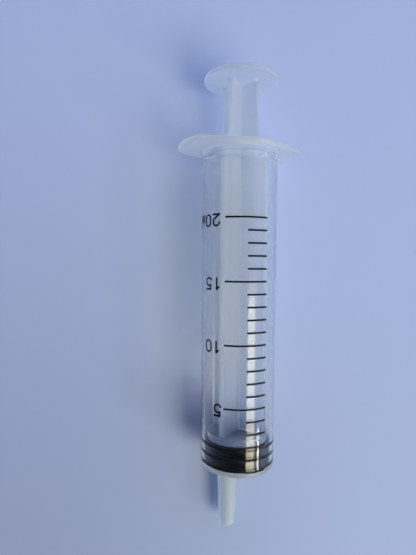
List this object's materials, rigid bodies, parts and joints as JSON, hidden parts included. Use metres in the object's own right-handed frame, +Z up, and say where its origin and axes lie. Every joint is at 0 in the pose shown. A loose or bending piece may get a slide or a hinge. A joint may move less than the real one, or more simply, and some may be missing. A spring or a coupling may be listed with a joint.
{
  "type": "dosing syringe",
  "caption": "Oral dosing syringe lying on its side: clear graduated barrel with an off-centre nozzle and finger flange, black rubber stopper, ribbed plunger rod with a thumb rest.",
  "frame": {"origin": "on the table, under the middle of the syringe's box", "axes": "+Z up from the table, +Y towards the thumb rest along the barrel, so the nozzle points to -Y; +X to the right seen from above with the nozzle towards the viewer. The barrel's axis slopes down to the nozzle by 0.73 degrees"},
  "size_m": [0.0356, 0.133, 0.0236],
  "materials": {
    "clear_plastic": "translucent polypropylene, glossy, slightly milky",
    "rod_plastic": "translucent polypropylene, satin, slightly milky",
    "rubber": "smooth black rubber with a film of silicone oil",
    "ink": "screen-printed black ink"
  },
  "bodies": {
    "barrel": {"barrel": "clear_plastic", "printed_scale": "ink"},
    "stopper": {"rubber_stopper": "rubber"},
    "rod": {"plunger_rod": "rod_plastic"}
  },
  "joints": [
    {"name": "plunger_slide", "type": "slide", "parent": "barrel", "child": "stopper", "axis": [0, 0.9999, 0.0128], "range_m": [0, 0.0791]},
    {"name": "rod_spin", "type": "hinge", "parent": "stopper", "child": "rod", "pos_m": [0, -0.03692, 0.01074], "axis": [0, 0.9999, 0.0128], "continuous": true}
  ]
}
